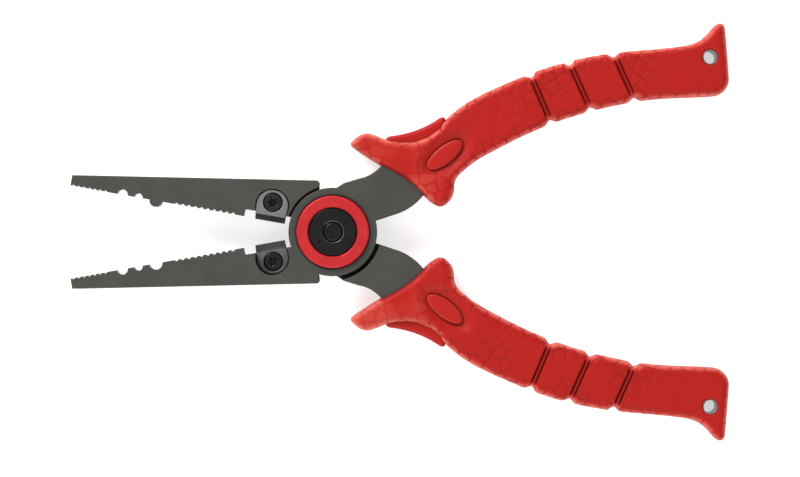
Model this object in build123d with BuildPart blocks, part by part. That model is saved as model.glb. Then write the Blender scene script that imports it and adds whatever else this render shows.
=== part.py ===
"""Fishing pliers, 8.5 in class: two half-lapped steel levers on one pivot, with replaceable
shear cutters, a hidden return spring and overmoulded grips.

Units are millimetres.  The row frame has its origin on the pivot axis, in the plane the pliers
lie on (the flat back face of the pivot bolt's head).  +Z is up, towards the front face, the jaws
point to -X and the handles to +X.  The pliers are modelled half open.

Both levers use the same local frame: x along the closed gripping line, jaw at -x, z = 0 at the
middle of the thickness and +z on the side of the lever's own hub disc.  The top lever's disc is
in front.  The bottom lever is the same frame turned over about x.
"""
from build123d import *
from math import atan2, cos, degrees, radians, sin, sqrt
import os

os.makedirs("parts", exist_ok=True)

# ---------------------------------------------------------------- overall
HALF_OPEN = 10.0          # each lever's turn away from closed, degrees
PLATE_T = 10.0            # thickness of the steel levers
GRIP_T = 13.2             # thickness of the handles over the soft skin
MID_Z = GRIP_T / 2        # height of the shear plane above the surface it lies on

# ---------------------------------------------------------------- hub
DISC_R = 13.9
JAW_RECESS_R = 14.6       # room for the other disc beside the jaw
ARM_RECESS_R = 15.2       # room for the other disc beside the arm
WASHER_T = 0.3            # gap between the two discs
WASHER_PLAY = 0.02        # the washer is this much thinner than its gap
WASHER_RIM = 0.6          # its outer edge lies this far inside the disc's
WASHER_BORE_RIM = 0.5     # and its inner edge this far outside the spring slot
BORE_R = 4.03
RING_SEAT_R = 11.55       # counterbore for the ring
RING_SEAT_Z = 3.2         # its floor, above the shear plane
SPRING_SLOT_RI = 5.0
SPRING_SLOT_RO = 7.0
SPRING_SLOT_Z = 1.85

# ---------------------------------------------------------------- pivot hardware
BUSHING_RO = 4.0
BUSHING_RI = 3.05
PIVOT_STACK_Z = RING_SEAT_Z + 0.05    # nut and bolt head start here, on the bushing's ends
BOLT_R = 3.0
BOLT_END_Z = 5.75
BOLT_END_ROUND = 0.6
CAP_R = 7.55                          # nut and bolt head
HEAD_CHAMFER = 0.4
NUT_TOP_Z = 6.0
NUT_CHAMFER = 0.35
NUT_BORE_CHAMFER = 0.5
NUT_BORE_FIT = 0.02
RING_RI = 7.7
RING_RO = 11.35
RING_BASE_R = 11.53
RING_BASE_T = 1.0
RING_TOP_Z = 6.3
RING_CHAMFER = 0.4
SPANNER_R = 5.3                       # radius of the two spanner holes' circle
SPANNER_HOLE_R = 0.5
SPANNER_HOLE_DEPTH = 0.8
SPANNER_ANGLE = 35.0
WIRE_R = 0.475                        # return spring
COIL_R = 6.0
COIL_PITCH = 1.02
COIL_TURNS = 2 + (180 - 2 * HALF_OPEN) / 360
COIL_LINKS = 22                       # equal stretches that the coil is built from
LEG_HOLE_R = 0.58
LEG_END_Z = 2.95

# ---------------------------------------------------------------- jaw
JAW_GAP = 0.04            # each gripping line's distance from the middle, when closed
TIP_X = -83.6
TIP_W = 3.4
HEEL_X = -6.85
HEEL_Y = -15.2
HEEL_R = 1.0
TIP_R = 0.35
STEP_X = -28.5            # the jaw is set back from here to the hub
STEP_Y = -2.3
STEP_R = 0.5
EDGE_BREAK = 0.25
TIP_TEETH = (-82.75, 7, 1.7, 0.78)      # first valley, count, pitch, depth
BACK_TEETH = (-49.9, 10, 2.0, 0.72)
TOOTH_HALF = 0.42                       # half width of a valley, as a share of the pitch
NOTCHES = ((-67.1, 3.7, 1.75), (-62.0, 3.0, 1.4))    # centre, width, depth
CRIMP_X = -56.45
CRIMP_SOCKET = (4.5, 2.05)
CRIMP_BUMP = (3.7, 1.9)

# ---------------------------------------------------------------- cutters
BLADE_X = -20.1
BLADE_Y = -4.8            # centre of the round back of the blade
BLADE_R = 4.95
POCKET_R = 5.3
EDGE_HALF = 4.7           # half length of the cutting edge
EDGE_OVERLAP = 0.15       # how far each edge passes the gripping line when closed
BEVEL_H = 1.85
BEVEL_LAND = 0.4          # upright strip left below the bevel, at the edge
SHEAR_GAP = 0.03          # each blade's distance from the shear plane
FRONT_BLADE_T = 4.67
DEEP_BLADE_T = 2.42
LAND_STEP = 0.3           # the deep blade's body lies this far below its cutting land
SCREW_Y = -5.9
SCREW_HEAD_R = 3.0
SCREW_SHANK_R = 1.48
SCREW_END_Z = -4.2
SCREW_CHAMFER = 0.3
SOCKET_R = 1.2
SOCKET_LOBE_AT = 1.25
SOCKET_LOBE_R = 0.38
SOCKET_FLOOR = 0.35       # floor of the socket, as a share of the head's height
HEAD_CLEAR = 0.12         # gap round a screw's head, in its blade
SHANK_CLEAR = 0.15        # gap round its shank, in its blade
THREAD_FIT = 0.02         # gap round its shank, in the lever
FRONT_HEAD_T = 2.1
DEEP_HEAD_T = 1.2
FRONT_HEAD_SUNK = 0.2     # each head lies this far below its blade's face
DEEP_HEAD_SUNK = 0.1
FRONT_HEAD_FLOOR = SHEAR_GAP + FRONT_BLADE_T - FRONT_HEAD_SUNK - FRONT_HEAD_T
DEEP_FLOOR = -SHEAR_GAP - DEEP_BLADE_T
DEEP_HEAD_FLOOR = -SHEAR_GAP - LAND_STEP - DEEP_HEAD_SUNK - DEEP_HEAD_T

# ---------------------------------------------------------------- arm and tang
SHOULDER = (6.0, 14.5)
SHOULDER_R = 3.0
ARM_END = 2.5             # how far the full thickness runs into the grip
TANG_T = 5.0
TANG_HOLE_R = 2.0
TANG_HOLES = ((62.0, 28.0), (90.0, 31.3))

# ---------------------------------------------------------------- grip
CORE_T = PLATE_T
LEDGE_T = 9.2
GROOVE_W = 1.9
GROOVE_DEPTH = 1.2
NOTCH_DEPTH = 1.3
GROOVES = (((69.7, 37.9), (73.5, 21.5)), ((82.5, 38.9), (86.4, 23.5)), ((96.6, 39.5), (100.5, 24.0)))
OVAL_AT = (38.8, 17.7)
OVAL_ANGLE = 28.0
OVAL_A = 6.7
OVAL_B = 2.75
OVAL_RIM = 0.15           # gap round the inlay
OVAL_PROUD_Z = 6.5
OVAL_ROUND = 0.4
EYELET_AT = (126.0, 33.4)
EYELET_RI = 2.05
EYELET_RO = 2.35
EYELET_T = 13.0


def lever_frame(turned_over):
    """The local frame of a lever, at the half-open position."""
    side = -1 if turned_over else 1
    x_dir = (cos(radians(HALF_OPEN)), side * sin(radians(HALF_OPEN)), 0)
    return Plane(origin=(0, 0, MID_Z), x_dir=x_dir, z_dir=(0, 0, side))


TOP = lever_frame(False)
BOTTOM = lever_frame(True)
HUB = Plane.XY.offset(MID_Z)


def save(piece, label):
    """Name a finished piece and write its file."""
    piece.label = label
    export_step(piece, "parts/" + label + ".step")


def chord_circle(width, depth):
    """Radius and centre height of the arc that is `width` wide where it is `depth` deep."""
    radius = (width**2 / 4 + depth**2) / (2 * depth)
    return radius, radius - depth


# ---------------------------------------------------------------- outlines
def jaw_profile(bump):
    """Jaw with its teeth and notches, from the tip to inside the hub disc."""
    with BuildSketch() as jaw:
        with BuildLine():
            Polyline(
                (TIP_X, -JAW_GAP),
                (STEP_X, -JAW_GAP),
                (STEP_X, STEP_Y),
                (-DISC_R + 2, STEP_Y),
                (-5.0, -6.0),
                (-6.5, -DISC_R + 2),
                (HEEL_X, HEEL_Y),
                (TIP_X, -TIP_W),
                close=True,
            )
        make_face()
        fillet(jaw.vertices().sort_by_distance((HEEL_X, HEEL_Y))[0], HEEL_R)
        fillet(jaw.vertices().sort_by_distance((STEP_X, STEP_Y))[0], STEP_R)
        fillet(jaw.vertices().sort_by_distance((TIP_X, -TIP_W))[0], TIP_R)
        for first, count, pitch, depth in (TIP_TEETH, BACK_TEETH):
            half = TOOTH_HALF * pitch
            for i in range(count):
                with Locations((first + i * pitch, -JAW_GAP)):
                    Polygon((-half, depth), (half, depth), (half, 0), (0, -depth), (-half, 0),
                            align=None, mode=Mode.SUBTRACT)
        for x, width, depth in NOTCHES:
            radius, height = chord_circle(width, depth)
            with Locations((x, height)):
                Circle(radius, mode=Mode.SUBTRACT)
        radius, height = chord_circle(*(CRIMP_BUMP if bump else CRIMP_SOCKET))
        with Locations((CRIMP_X, -height if bump else height)):
            Circle(radius, mode=Mode.ADD if bump else Mode.SUBTRACT)
    return jaw.sketch


def arm_profile():
    """Full-thickness arm, from inside the hub disc to just inside the grip."""
    into_grip = ARM_END / sqrt(2)
    with BuildSketch() as arm:
        with BuildLine():
            Polyline((3.0, 6.0), (3.2, 13.3), SHOULDER, (11.0, 15.1))
            ThreePointArc((11.0, 15.1), (15.2, 15.85), (18.5, 17.8))
            Polyline((18.5, 17.8), (18.5 + into_grip, 17.8 + into_grip),
                     (30.0 + into_grip, 6.4 + into_grip), (30.0, 6.4))
            ThreePointArc((30.0, 6.4), (25.2, 3.35), (20.0, 2.0))
            Polyline((20.0, 2.0), (13.4, 1.05), (3.0, 6.0))
        make_face()
        fillet(arm.vertices().sort_by_distance(SHOULDER)[0], SHOULDER_R)
    return arm.sketch


def tang_profile():
    """Thin tang inside the grip, with the holes that the core is moulded through."""
    with BuildSketch() as tang:
        with BuildLine():
            Spline((19.5, 18.5), (33.0, 20.6), (48.0, 25.8), (64.0, 31.6), (84.0, 35.0), (111.0, 35.0))
            ThreePointArc((111.0, 35.0), (115.0, 31.0), (111.0, 27.0))
            Spline((111.0, 27.0), (84.0, 27.2), (64.0, 24.0), (48.0, 18.4), (38.0, 12.5), (31.0, 7.5))
            Line((31.0, 7.5), (19.5, 18.5))
        make_face()
        with Locations(*TANG_HOLES):
            Circle(TANG_HOLE_R, mode=Mode.SUBTRACT)
    return tang.sketch


def grip_profile():
    """Soft grip seen from the front: guard horn, body, hook at the end, finger horn."""
    with BuildSketch() as grip:
        with BuildLine():
            Spline((10.8, 26.9), (15.7, 28.75), (20.6, 26.2), (27.6, 23.8),
                   (34.0, 24.2), (39.2, 26.7), (43.5, 30.2),
                   tangents=((0.8, 0.6), (1.0, 0.6)))
            Spline((43.5, 30.2), (60.0, 36.1), (77.3, 39.5), (98.0, 40.0), (118.0, 38.4),
                   tangents=((1.0, 0.6), (1.0, -0.05)))
            Spline((118.0, 38.4), (124.2, 39.3), (128.2, 42.0), (130.7, 43.55), (132.4, 41.6),
                   tangents=((1.0, -0.05), (-0.05, -1.0)))
            Line((132.4, 41.6), (130.9, 26.3))
            ThreePointArc((130.9, 26.3), (129.2, 22.6), (125.3, 21.2))
            Spline((125.3, 21.2), (108.0, 23.4), (89.9, 23.5), (70.1, 20.8), (53.9, 16.2),
                   (45.0, 12.5), tangents=((-1.0, 0.1), (-1.0, -0.62)))
            Spline((45.0, 12.5), (40.6, 9.1), (39.3, 4.8), (37.1, 2.6), (33.4, 2.5),
                   tangents=((-1.0, -0.62), (-0.8, 0.6)))
            Spline((33.4, 2.5), (27.7, 9.6), (18.5, 17.8), (10.3, 25.4),
                   tangents=((-0.8, 0.6), (-0.7, 0.71)))
            ThreePointArc((10.3, 25.4), (10.05, 26.2), (10.8, 26.9))
        make_face()
    return grip.sketch


def core_profile():
    """The hard core, about one skin thickness inside the grip."""
    with BuildSketch() as core:
        with BuildLine():
            Spline((13.2, 25.0), (15.8, 26.9), (20.0, 24.6), (27.5, 22.2), (34.4, 22.6),
                   (39.8, 25.2), (44.3, 28.8), tangents=((0.6, 1.0), (1.0, 0.6)))
            Spline((44.3, 28.8), (60.5, 34.5), (77.5, 37.9), (98.0, 38.4), (118.0, 36.8),
                   (124.8, 37.9), (130.2, 41.3), tangents=((1.0, 0.6), (1.0, 0.7)))
            Polyline((130.2, 41.3), (130.75, 41.3), (129.3, 26.5))
            ThreePointArc((129.3, 26.5), (128.1, 23.8), (125.4, 22.8))
            Spline((125.4, 22.8), (108.0, 25.0), (89.8, 25.1), (69.8, 22.4), (53.3, 17.8),
                   (44.2, 13.9), tangents=((-1.0, 0.1), (-1.0, -0.62)))
            Spline((44.2, 13.9), (39.0, 10.2), (37.2, 5.6), (35.8, 4.3), (34.0, 4.3),
                   tangents=((-1.0, -0.62), (-0.8, 0.6)))
            Spline((34.0, 4.3), (28.9, 10.7), (19.7, 18.9), (13.2, 25.0),
                   tangents=((-0.8, 0.6), (-0.6, 0.8)))
        make_face()
    return core.sketch


def ledge_profile():
    """Smooth step of the core that shows behind the guard horn."""
    with BuildSketch() as ledge:
        with BuildLine():
            Polyline((41.0, 24.0), (25.0, 20.0), (21.0, 24.5), (21.6, 26.6))
            Spline((21.6, 26.6), (28.9, 26.6), (35.0, 27.8), (39.9, 29.8))
            Polyline((39.9, 29.8), (41.0, 29.6), (41.0, 24.0))
        make_face()
    return ledge.sketch


def blade_profile(radius, edge_y):
    """D outline of a cutter: round back, straight sides that close in to the edge."""
    with BuildSketch() as blade:
        with BuildLine():
            ThreePointArc((BLADE_X - radius, BLADE_Y), (BLADE_X, BLADE_Y - radius),
                          (BLADE_X + radius, BLADE_Y))
            Polyline((BLADE_X + radius, BLADE_Y), (BLADE_X + EDGE_HALF, edge_y),
                     (BLADE_X - EDGE_HALF, edge_y), (BLADE_X - radius, BLADE_Y))
        make_face()
    return blade.sketch


# ---------------------------------------------------------------- levers
def outer_edges(lever, frame):
    """Edges of both faces to break: the jaw's back and tip, and the sides of the arm."""
    chosen = ShapeList()
    for edge in lever.faces().filter_by(Axis.Z).edges():
        if abs(abs(edge.center().Z - MID_Z) - PLATE_T / 2) > 0.01:
            continue
        x, y, _ = frame.to_local_coords(edge.center())
        jaw_tip = abs(x - TIP_X) < 0.05
        jaw_back = x < HEEL_X + 0.5 and y < -TIP_W + 0.5 and (x < BLADE_X - 6 or y < -11)
        arm_inside = x > 13.4 and 0.9 < y < 4.5
        arm_outside = 2 < x < 18 and 13.5 < y < 18.2 and edge.length < 9
        if jaw_tip or jaw_back or arm_inside or arm_outside:
            chosen.append(edge)
    return chosen


def make_lever(frame, front, bump, pocket_floor):
    """One lever.  `front` is +1 or -1: the local z side that faces forward."""
    half_t = PLATE_T / 2
    with BuildPart() as lever:
        with BuildSketch(frame.offset(-half_t)):
            add(jaw_profile(bump))
        extrude(amount=PLATE_T)
        with BuildSketch(frame.offset(-half_t)):
            add(arm_profile())
        extrude(amount=PLATE_T)
        with BuildSketch(frame.offset(-TANG_T / 2)):
            add(tang_profile())
        extrude(amount=TANG_T)
        # Half lap: clear the other lever's disc, then add this lever's own.
        with BuildSketch(frame.offset(-half_t)):
            Circle(ARM_RECESS_R)
            split(bisect_by=Plane.YZ)
            Circle(JAW_RECESS_R)
        extrude(amount=half_t + WASHER_T / 2, mode=Mode.SUBTRACT)
        with BuildSketch(frame.offset(WASHER_T / 2)):
            Circle(DISC_R)
        extrude(amount=half_t - WASHER_T / 2)
        # Seats in the disc: ring, bushing, spring and the spring's leg.
        with BuildSketch(frame.offset(RING_SEAT_Z)):
            Circle(RING_SEAT_R)
        extrude(amount=PLATE_T, mode=Mode.SUBTRACT)
        with BuildSketch(frame):
            Circle(SPRING_SLOT_RO)
            Circle(SPRING_SLOT_RI, mode=Mode.SUBTRACT)
        extrude(amount=SPRING_SLOT_Z, mode=Mode.SUBTRACT)
        with BuildSketch(frame):
            Circle(BORE_R)
            with Locations((0, COIL_R)):
                Circle(LEG_HOLE_R)
        extrude(amount=PLATE_T, mode=Mode.SUBTRACT)
        # Pocket and screw hole of the cutter, both from the front.
        with BuildSketch(frame.offset(front * pocket_floor)):
            add(blade_profile(POCKET_R, 0.0))
            with Locations((BLADE_X, STEP_Y / 2)):
                Rectangle(2 * POCKET_R, -STEP_Y)
        extrude(amount=front * PLATE_T, mode=Mode.SUBTRACT)
        with BuildSketch(frame.offset(front * pocket_floor)):
            with Locations((BLADE_X, SCREW_Y)):
                Circle(SCREW_SHANK_R + THREAD_FIT)
        extrude(amount=front * (SCREW_END_Z - pocket_floor), mode=Mode.SUBTRACT)
        chamfer(outer_edges(lever.part, frame), EDGE_BREAK)
    return lever.part


top_lever = make_lever(TOP, 1, False, DEEP_FLOOR)
bottom_lever = make_lever(BOTTOM, -1, True, SHEAR_GAP)
save(top_lever, "top_lever")
save(bottom_lever, "bottom_lever")


# ---------------------------------------------------------------- cutters and their screws
def screw_room(frame, front, head_floor):
    """The space that a blade leaves for its screw: a recess for the head, and a hole for the shank."""
    with BuildPart() as room:
        with BuildSketch(frame.offset(front * head_floor)):
            with Locations((BLADE_X, SCREW_Y)):
                Circle(SCREW_HEAD_R + HEAD_CLEAR)
        extrude(amount=front * PLATE_T)
        with BuildSketch(frame.offset(front * SCREW_END_Z)):
            with Locations((BLADE_X, SCREW_Y)):
                Circle(SCREW_SHANK_R + SHANK_CLEAR)
        extrude(amount=front * (head_floor - SCREW_END_Z))
    return room.part


def make_front_blade(frame, front):
    """Cutter of the front layer; its bevel runs down to the shear plane."""
    with BuildPart() as blade:
        with BuildSketch(frame.offset(front * SHEAR_GAP)):
            add(blade_profile(BLADE_R, EDGE_OVERLAP))
        extrude(amount=front * FRONT_BLADE_T)
        along_jaw = Axis(frame.origin, frame.x_dir)
        bevel_edge = blade.edges().filter_by(along_jaw).group_by(Axis.Z)[-1]
        chamfer(bevel_edge, length=BEVEL_H, length2=FRONT_BLADE_T - BEVEL_LAND,
                reference=blade.faces().sort_by(Axis.Z)[-1])
        add(screw_room(frame, front, FRONT_HEAD_FLOOR), mode=Mode.SUBTRACT)
    return blade.part


def make_deep_blade(frame, front):
    """Cutter that lies below the shear plane; only its cutting land reaches it."""
    with BuildPart() as blade:
        with BuildSketch(frame.offset(front * DEEP_FLOOR)):
            add(blade_profile(BLADE_R, EDGE_OVERLAP))
        extrude(amount=front * DEEP_BLADE_T)
        with BuildSketch(frame.offset(front * (-SHEAR_GAP - LAND_STEP))):
            with Locations((BLADE_X, -BEVEL_H - BLADE_R)):
                Rectangle(2.5 * BLADE_R, 2 * BLADE_R)
        extrude(amount=front * PLATE_T, mode=Mode.SUBTRACT)
        add(screw_room(frame, front, DEEP_HEAD_FLOOR), mode=Mode.SUBTRACT)
    return blade.part


def make_cutter_screw(frame, front, head_floor, head_t):
    """Low round head with a six-lobe socket, and a plain shank for the thread."""
    with BuildPart() as screw:
        with BuildSketch(frame.offset(front * head_floor)):
            with Locations((BLADE_X, SCREW_Y)):
                Circle(SCREW_HEAD_R)
        extrude(amount=front * head_t)
        chamfer(screw.faces().sort_by(Axis.Z)[-1].edges(), SCREW_CHAMFER)
        with BuildSketch(frame.offset(front * head_floor)):
            with Locations((BLADE_X, SCREW_Y)):
                Circle(SCREW_SHANK_R)
        extrude(amount=front * (SCREW_END_Z - head_floor))
        with BuildSketch(frame.offset(front * (head_floor + SOCKET_FLOOR * head_t))):
            with Locations((BLADE_X, SCREW_Y)):
                Circle(SOCKET_R)
                with PolarLocations(SOCKET_LOBE_AT, 6):
                    Circle(SOCKET_LOBE_R)
        extrude(amount=front * head_t, mode=Mode.SUBTRACT)
    return screw.part


save(make_front_blade(BOTTOM, -1), "bottom_cutter")
save(make_deep_blade(TOP, 1), "top_cutter")
save(make_cutter_screw(BOTTOM, -1, FRONT_HEAD_FLOOR, FRONT_HEAD_T), "bottom_cutter_screw")
save(make_cutter_screw(TOP, 1, DEEP_HEAD_FLOOR, DEEP_HEAD_T), "top_cutter_screw")


# ---------------------------------------------------------------- pivot
def spanner_holes():
    """Two small holes that a pin spanner turns the cap by."""
    with BuildSketch() as holes:
        with PolarLocations(SPANNER_R, 2, start_angle=SPANNER_ANGLE):
            Circle(SPANNER_HOLE_R)
    return holes.sketch


with BuildPart() as pivot_bolt:
    with BuildSketch(Plane.XY):
        Circle(CAP_R)
    extrude(amount=MID_Z - PIVOT_STACK_Z)
    chamfer(pivot_bolt.faces().sort_by(Axis.Z)[0].edges(), HEAD_CHAMFER)
    with BuildSketch(HUB.offset(-PIVOT_STACK_Z)):
        Circle(BOLT_R)
    extrude(amount=PIVOT_STACK_Z + BOLT_END_Z)
    fillet(pivot_bolt.faces().sort_by(Axis.Z)[-1].edges(), BOLT_END_ROUND)
    with BuildSketch(Plane.XY):
        add(spanner_holes())
    extrude(amount=SPANNER_HOLE_DEPTH, mode=Mode.SUBTRACT)
save(pivot_bolt.part, "pivot_bolt")

with BuildPart() as pivot_nut:
    with BuildSketch(HUB.offset(PIVOT_STACK_Z)):
        Circle(CAP_R)
        Circle(BOLT_R + NUT_BORE_FIT, mode=Mode.SUBTRACT)
    extrude(amount=NUT_TOP_Z - PIVOT_STACK_Z)
    chamfer(pivot_nut.faces().sort_by(Axis.Z)[-1].edges().sort_by(SortBy.LENGTH)[-1], NUT_CHAMFER)
    chamfer(pivot_nut.faces().sort_by(Axis.Z)[-1].edges().sort_by(SortBy.LENGTH)[0], NUT_BORE_CHAMFER)
    with BuildSketch(HUB.offset(NUT_TOP_Z)):
        add(spanner_holes())
    extrude(amount=-SPANNER_HOLE_DEPTH, mode=Mode.SUBTRACT)
save(pivot_nut.part, "pivot_nut")

with BuildPart() as pivot_bushing:
    with BuildSketch(HUB.offset(-PIVOT_STACK_Z)):
        Circle(BUSHING_RO)
        Circle(BUSHING_RI, mode=Mode.SUBTRACT)
    extrude(amount=2 * PIVOT_STACK_Z)
save(pivot_bushing.part, "pivot_bushing")

with BuildPart() as pivot_washer:
    with BuildSketch(HUB.offset((WASHER_PLAY - WASHER_T) / 2)):
        Circle(DISC_R - WASHER_RIM)
        Circle(SPRING_SLOT_RO + WASHER_BORE_RIM, mode=Mode.SUBTRACT)
    extrude(amount=WASHER_T - WASHER_PLAY)
save(pivot_washer.part, "pivot_washer")


def make_pivot_ring(frame):
    """Coloured ring let into a hub disc, chamfered inside and out."""
    with BuildPart() as ring:
        with BuildSketch(frame.offset(RING_SEAT_Z)):
            Circle(RING_BASE_R)
        extrude(amount=RING_BASE_T)
        with BuildSketch(frame.offset(RING_SEAT_Z)):
            Circle(RING_RO)
        extrude(amount=RING_TOP_Z - RING_SEAT_Z)
        with BuildSketch(frame.offset(RING_SEAT_Z)):
            Circle(RING_RI)
        extrude(amount=PLATE_T, mode=Mode.SUBTRACT)
        outward = Axis(frame.origin, frame.z_dir)
        chamfer(ring.faces().filter_by(outward).sort_by(outward)[-1].edges(), RING_CHAMFER)
    return ring.part


save(make_pivot_ring(TOP), "top_pivot_ring")
save(make_pivot_ring(BOTTOM), "bottom_pivot_ring")

# The spring's lower leg stands in the bottom disc, its upper leg in the top disc.  Its coil is
# many short links of one helix, end to end.
lower_leg = -90.0 - HALF_OPEN
upper_leg = 90.0 + HALF_OPEN
coil_h = COIL_PITCH * COIL_TURNS
link_h = coil_h / COIL_LINKS
link_turn = -360 * COIL_TURNS / COIL_LINKS
with BuildPart() as coil_link:
    with BuildLine() as link_line:
        Helix(pitch=COIL_PITCH, height=link_h, radius=COIL_R, lefthand=True)
    with BuildSketch(Plane(origin=link_line.line @ 0, z_dir=link_line.line % 0)):
        Circle(WIRE_R)
    sweep(path=link_line.line)
with BuildPart() as return_spring:
    for i in range(COIL_LINKS):
        link_z = MID_Z - coil_h / 2 + i * link_h
        with Locations(Location((0, 0, link_z), (0, 0, lower_leg + i * link_turn))):
            add(coil_link.part)
    for angle, side in ((lower_leg, -1), (upper_leg, 1)):
        at = (COIL_R * cos(radians(angle)), COIL_R * sin(radians(angle)))
        with Locations((*at, MID_Z + side * coil_h / 2)):
            Sphere(WIRE_R)
        with BuildSketch(HUB.offset(side * coil_h / 2)):
            with Locations(at):
                Circle(WIRE_R)
        extrude(amount=side * (LEG_END_Z - coil_h / 2))
save(return_spring.part, "return_spring")


# ---------------------------------------------------------------- grips
def groove_strips(at_ends):
    """The slanted grooves across the grip, or only the notch at each of their ends."""
    with BuildSketch() as strips:
        for (x1, y1), (x2, y2) in GROOVES:
            length = sqrt((x2 - x1) ** 2 + (y2 - y1) ** 2)
            slant = degrees(atan2(y2 - y1, x2 - x1))
            middle = Location(((x1 + x2) / 2, (y1 + y2) / 2, 0), (0, 0, slant))
            with Locations(middle):
                if at_ends:
                    with GridLocations(length, 0, 2, 1):
                        Rectangle(2 * NOTCH_DEPTH, GROOVE_W)
                else:
                    Rectangle(length, GROOVE_W)
    return strips.sketch


def oval(margin):
    """The oval on the guard, larger all round by `margin`."""
    with BuildSketch() as shape:
        with Locations(Location((*OVAL_AT, 0), (0, 0, OVAL_ANGLE))):
            Ellipse(OVAL_A + margin, OVAL_B + margin)
    return shape.sketch


def make_grip_core(frame, lever):
    """Hard core moulded over the tang, with the smooth ledge behind the guard horn."""
    with BuildPart() as core:
        with BuildSketch(frame.offset(-CORE_T / 2)):
            add(core_profile())
        extrude(amount=CORE_T)
        with BuildSketch(frame.offset(-LEDGE_T / 2)):
            add(ledge_profile())
        extrude(amount=LEDGE_T)
        add(lever, mode=Mode.SUBTRACT)
        with BuildSketch(frame.offset(-CORE_T / 2)):
            with Locations(EYELET_AT):
                Circle(EYELET_RO)
        extrude(amount=CORE_T, mode=Mode.SUBTRACT)
    return core.part


def make_grip_skin(frame, lever, core):
    """Soft skin over the core, with three grooves round it and a window for each oval."""
    with BuildPart() as skin:
        with BuildSketch(frame.offset(-GRIP_T / 2)):
            add(grip_profile())
        extrude(amount=GRIP_T)
        with BuildSketch(frame.offset(-GRIP_T / 2)):
            add(groove_strips(at_ends=True))
        extrude(amount=GRIP_T, mode=Mode.SUBTRACT)
        for side in (1, -1):
            with BuildSketch(frame.offset(side * (GRIP_T / 2 - GROOVE_DEPTH))):
                add(groove_strips(at_ends=False))
            extrude(amount=side * GRIP_T, mode=Mode.SUBTRACT)
        with BuildSketch(frame.offset(-GRIP_T / 2)):
            add(oval(0.0))
            with Locations(EYELET_AT):
                Circle(EYELET_RO)
        extrude(amount=GRIP_T, mode=Mode.SUBTRACT)
        add(lever, mode=Mode.SUBTRACT)
        add(core, mode=Mode.SUBTRACT)
    return skin.part


def make_oval(frame, side):
    """Smooth inlay in the skin's window; `side` is +1 on the lever's own disc side."""
    with BuildPart() as inlay:
        with BuildSketch(frame.offset(side * CORE_T / 2)):
            add(oval(-OVAL_RIM))
        extrude(amount=side * (OVAL_PROUD_Z - CORE_T / 2))
        outward = Axis(frame.origin, frame.z_dir * side)
        fillet(inlay.faces().sort_by(outward)[-1].edges(), OVAL_ROUND)
    return inlay.part


def make_eyelet(frame):
    """Tube that lines the lanyard hole."""
    with BuildPart() as eyelet:
        with BuildSketch(frame.offset(-EYELET_T / 2)):
            with Locations(EYELET_AT):
                Circle(EYELET_RO)
                Circle(EYELET_RI, mode=Mode.SUBTRACT)
        extrude(amount=EYELET_T)
    return eyelet.part


for half, frame, lever, front in (("top", TOP, top_lever, 1), ("bottom", BOTTOM, bottom_lever, -1)):
    core = make_grip_core(frame, lever)
    save(core, half + "_grip_core")
    save(make_grip_skin(frame, lever, core), half + "_grip_skin")
    save(make_oval(frame, front), half + "_oval_front")
    save(make_oval(frame, -front), half + "_oval_back")
    save(make_eyelet(frame), half + "_lanyard_eyelet")
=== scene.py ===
import math

import bmesh
import bpy
import numpy as np
from mathutils import Matrix, Vector
from mathutils.geometry import delaunay_2d_cdt
from mathutils.kdtree import KDTree


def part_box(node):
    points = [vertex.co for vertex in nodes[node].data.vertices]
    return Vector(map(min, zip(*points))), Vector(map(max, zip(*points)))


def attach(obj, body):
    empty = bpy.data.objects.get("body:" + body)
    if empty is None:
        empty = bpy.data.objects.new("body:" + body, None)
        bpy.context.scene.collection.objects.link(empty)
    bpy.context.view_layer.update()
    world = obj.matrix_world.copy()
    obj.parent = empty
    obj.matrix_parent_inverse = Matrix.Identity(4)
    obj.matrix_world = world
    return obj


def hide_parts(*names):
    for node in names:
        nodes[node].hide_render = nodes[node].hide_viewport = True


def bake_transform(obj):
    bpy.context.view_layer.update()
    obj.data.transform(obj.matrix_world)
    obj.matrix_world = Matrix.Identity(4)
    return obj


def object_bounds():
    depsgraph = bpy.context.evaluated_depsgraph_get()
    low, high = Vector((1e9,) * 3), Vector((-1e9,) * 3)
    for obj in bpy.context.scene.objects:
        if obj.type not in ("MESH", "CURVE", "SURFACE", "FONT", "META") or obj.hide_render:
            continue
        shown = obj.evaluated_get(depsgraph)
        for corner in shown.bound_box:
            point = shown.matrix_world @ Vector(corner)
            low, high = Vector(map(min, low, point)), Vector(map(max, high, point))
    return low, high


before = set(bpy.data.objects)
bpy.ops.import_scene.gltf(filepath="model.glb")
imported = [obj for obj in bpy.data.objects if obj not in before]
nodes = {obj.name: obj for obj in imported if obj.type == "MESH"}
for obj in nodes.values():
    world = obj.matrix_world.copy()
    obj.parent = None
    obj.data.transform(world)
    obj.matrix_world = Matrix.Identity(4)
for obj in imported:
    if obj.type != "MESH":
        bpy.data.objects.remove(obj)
cad_low, cad_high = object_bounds()

# ---------------------------------------------------------------- driving sizes
# Lengths are in millimetres in the lever frame (origin on the pivot axis, at mid thickness),
# and MM turns them into metres.
MM = 0.001
HALF_OPEN = math.radians(10)
MID_Z = (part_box("top_grip_skin")[0].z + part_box("top_grip_skin")[1].z) / 2 / MM
HALF_T = (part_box("top_grip_skin")[1].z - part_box("top_grip_skin")[0].z) / 2 / MM
CORE_HALF_T = (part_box("top_grip_core")[1].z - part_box("top_grip_core")[0].z) / 2 / MM

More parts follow.
